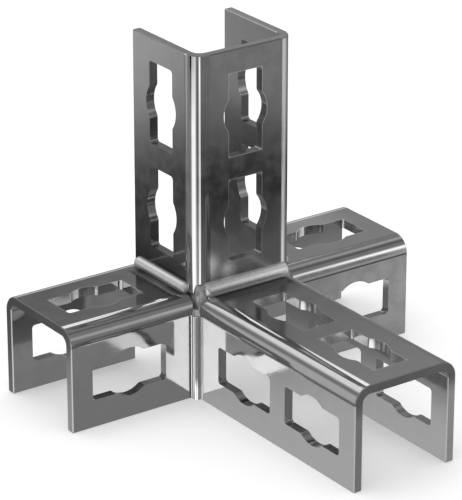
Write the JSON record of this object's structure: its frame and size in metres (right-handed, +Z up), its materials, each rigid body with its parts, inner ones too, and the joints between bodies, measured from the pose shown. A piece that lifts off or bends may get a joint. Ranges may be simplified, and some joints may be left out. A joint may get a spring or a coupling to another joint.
{
  "type": "strut angle fitting",
  "caption": "Welded strut connector: short U channels either side of an open hub, a long branch and an upright, with keyed bolt slots in every face.",
  "frame": {"origin": "on the foot plane, under the middle of the hub, where the centre lines of the arms and the branch cross", "axes": "+X along the right arm, -Y along the branch, +Z up the upright"},
  "size_m": [0.172, 0.158, 0.149],
  "materials": {
    "left_arm": "bright zinc-plated sheet, faintly brushed along its length",
    "right_arm": "bright zinc-plated sheet, faintly brushed along its length",
    "branch": "bright zinc-plated sheet, faintly brushed along its length",
    "upright": "bright zinc-plated sheet, faintly brushed along its length",
    "weld": "smooth plated weld bead"
  },
  "bodies": {
    "root": {"left_arm": "left_arm", "right_arm": "right_arm", "branch": "branch", "upright": "upright", "front_foot_weld": "weld", "left_foot_weld": "weld", "right_foot_weld": "weld", "left_corner_weld": "weld", "right_corner_weld": "weld"}
  },
  "joints": []
}
